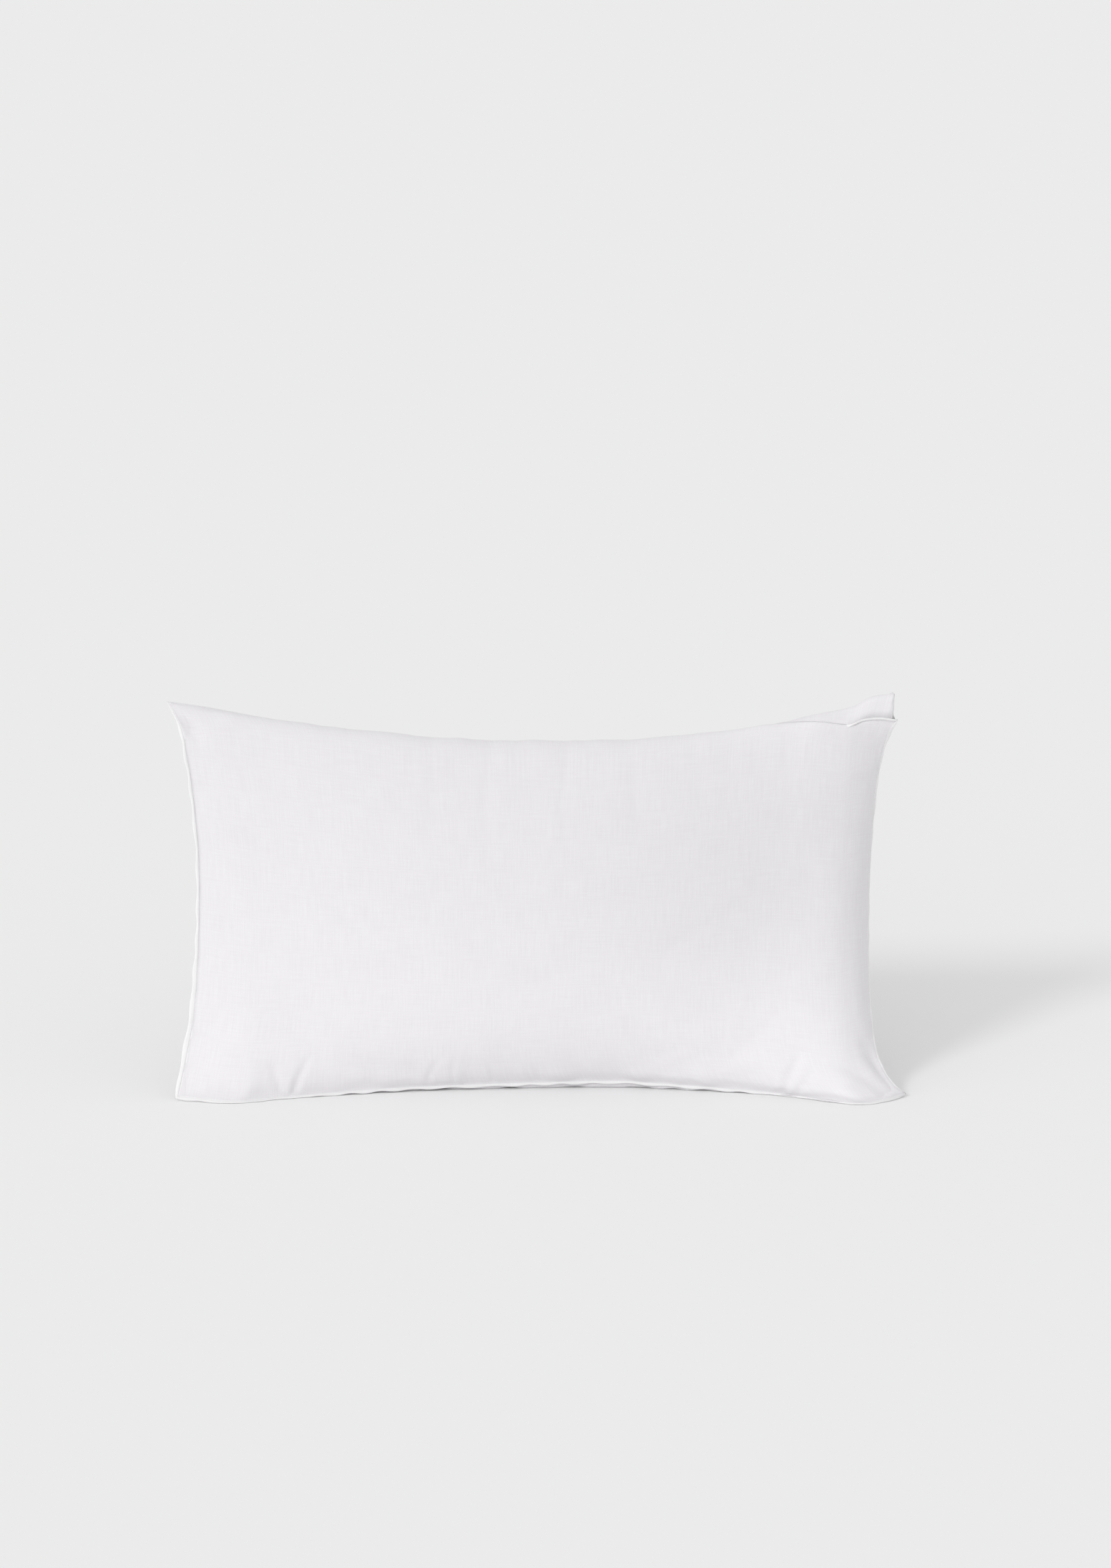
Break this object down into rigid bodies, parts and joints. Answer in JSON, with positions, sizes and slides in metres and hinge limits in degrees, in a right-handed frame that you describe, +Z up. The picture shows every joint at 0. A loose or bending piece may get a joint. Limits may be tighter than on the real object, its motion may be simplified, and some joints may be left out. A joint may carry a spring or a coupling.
{
  "type": "bed pillow",
  "caption": "Rectangular knife-edge bed pillow in white cotton with a narrow stitched lip, standing on its long edge.",
  "frame": {"origin": "on the floor, at the centre of the pillow's footprint", "axes": "+X along the long edge, +Y from the front face to the back, +Z up; the pillow stands on its long edge and leans back 14 degrees"},
  "size_m": [0.876, 0.1989, 0.4689],
  "materials": {
    "shell": "bleached white plain-woven cotton, thin and matt, with fine slubs",
    "fill": "white carded polyester fibre",
    "thread": "white spun polyester sewing thread",
    "label": "blank white satin ribbon"
  },
  "bodies": {
    "root": {"front_panel": "shell", "back_panel": "shell", "fibre_fill": "fill", "edge_needle_thread": "thread", "edge_bobbin_thread": "thread", "closing_needle_thread": "thread", "closing_bobbin_thread": "thread", "assembly_thread": "thread", "care_label": "label"}
  },
  "joints": []
}
